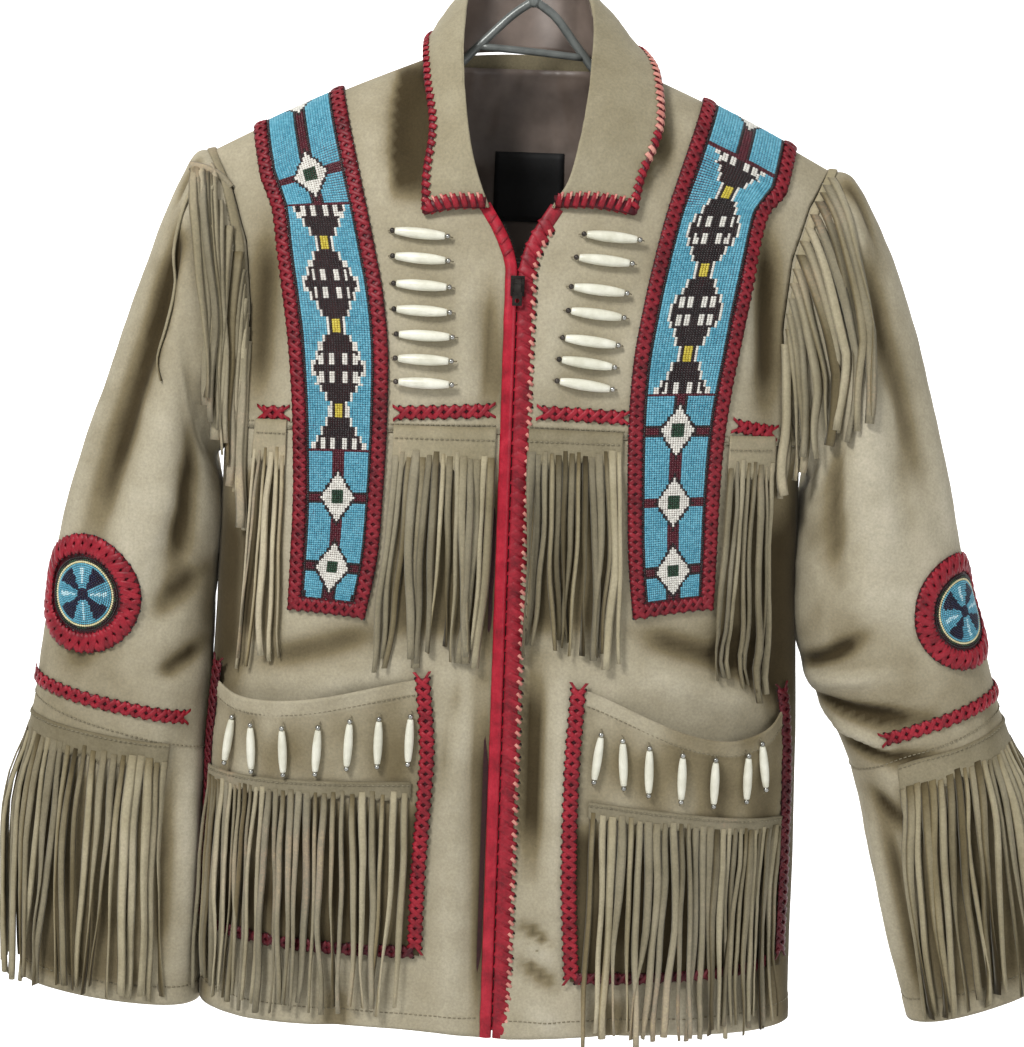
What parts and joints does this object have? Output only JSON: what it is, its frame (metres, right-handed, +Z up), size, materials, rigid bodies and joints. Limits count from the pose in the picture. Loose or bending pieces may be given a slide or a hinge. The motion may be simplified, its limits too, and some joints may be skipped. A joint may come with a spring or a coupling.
{
  "type": "western leather jacket on a hanger",
  "caption": "Fringed suede western jacket with beaded strips, bone beads and red laced edges, hung open-necked on a plain tubular hanger.",
  "frame": {"origin": "inner top of the hanger's hook, where it hangs on a rail", "axes": "+Z up, the jacket's front looks to -Y, +X is the wearer's left"},
  "size_m": [0.8569, 0.1787, 0.8883],
  "materials": {
    "suede": "napped suede",
    "fringe_suede": "napped suede, cut in strands",
    "red_leather": "smooth",
    "seed_beads": "glass seed beads",
    "bone": "polished bone",
    "lining": "satin",
    "label_cloth": "plain woven",
    "zip_tape": "woven tape",
    "dark_metal": "dark plated",
    "hanger_plastic": "satin grey"
  },
  "bodies": {
    "jacket": {"front_right": "suede", "front_left": "suede", "yoke_right": "suede", "yoke_left": "suede", "back": "suede", "sleeve_right": "suede", "sleeve_left": "suede", "collar": "suede", "lining_back": "lining", "label": "label_cloth", "pocket_right": "suede", "pocket_left": "suede", "pocket_fringe_right": "fringe_suede", "pocket_fringe_left": "fringe_suede", "chest_fringe_inner_right": "fringe_suede", "chest_fringe_outer_right": "fringe_suede", "chest_fringe_inner_left": "fringe_suede", "chest_fringe_outer_left": "fringe_suede", "shoulder_fringe_right": "fringe_suede", "shoulder_fringe_left": "fringe_suede", "sleeve_fringe_right": "fringe_suede", "sleeve_fringe_left": "fringe_suede", "bead_strip_right": "seed_beads", "bead_strip_left": "seed_beads", "rosette_right": "seed_beads", "rosette_left": "seed_beads", "zip": "zip_tape", "binding_right": "red_leather", "binding_left": "red_leather", "zip_slider": "dark_metal", "hanger": "hanger_plastic", "bone_chest_right_1": "bone", "bone_chest_right_2": "bone", "bone_chest_right_3": "bone", "bone_chest_right_4": "bone", "bone_chest_right_5": "bone", "bone_chest_right_6": "bone", "bone_chest_right_7": "bone", "bone_chest_left_1": "bone", "bone_chest_left_2": "bone", "bone_chest_left_3": "bone", "bone_chest_left_4": "bone", "bone_chest_left_5": "bone", "bone_chest_left_6": "bone", "bone_chest_left_7": "bone", "bone_pocket_right_1": "bone", "bone_pocket_right_2": "bone", "bone_pocket_right_3": "bone", "bone_pocket_right_4": "bone", "bone_pocket_right_5": "bone", "bone_pocket_right_6": "bone", "bone_pocket_right_7": "bone", "bone_pocket_left_1": "bone", "bone_pocket_left_2": "bone", "bone_pocket_left_3": "bone", "bone_pocket_left_4": "bone", "bone_pocket_left_5": "bone", "bone_pocket_left_6": "bone", "bone_pocket_left_7": "bone"},
    "pull": {"zip_pull": "dark_metal"}
  },
  "joints": [
    {"name": "pull_hinge", "type": "hinge", "parent": "jacket", "child": "pull", "pos_m": [0, -0.09011, -0.301], "axis": [-1, 0, 0], "range_deg": [0, 160]}
  ]
}
